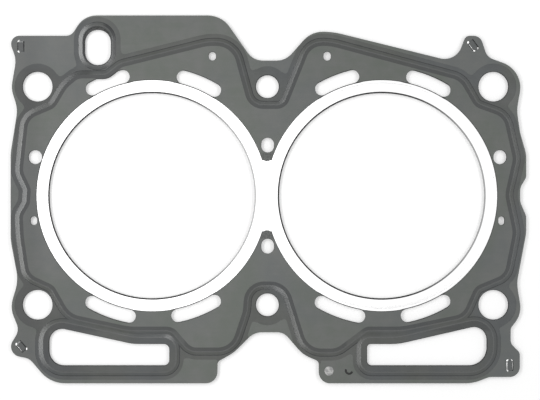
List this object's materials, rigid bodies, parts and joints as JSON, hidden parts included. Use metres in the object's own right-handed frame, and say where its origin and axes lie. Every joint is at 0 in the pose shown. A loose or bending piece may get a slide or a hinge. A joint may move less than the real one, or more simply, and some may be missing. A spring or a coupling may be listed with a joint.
{
  "type": "cylinder head gasket",
  "caption": "Multi-layer steel cylinder head gasket for two cylinders side by side, with bright bore rings, grey coated sheets, coolant slots and two long windows.",
  "frame": {"origin": "midway between the four corner bolt holes, halfway through the middle sheet", "axes": "+X along the row of bores towards the end with the scalloped edge, +Y towards the side with the upright oil hole, +Z out of the face with the half-moon mark"},
  "size_m": [0.2537, 0.181, 0.0014],
  "materials": {
    "coated_sheet": "satin grey rubber coating on steel",
    "core_sheet": "bright rolled stainless steel",
    "rivet": "bare steel"
  },
  "bodies": {
    "root": {"top_sheet": "coated_sheet", "core_sheet": "core_sheet", "bottom_sheet": "coated_sheet", "rivet": "rivet"}
  },
  "joints": []
}
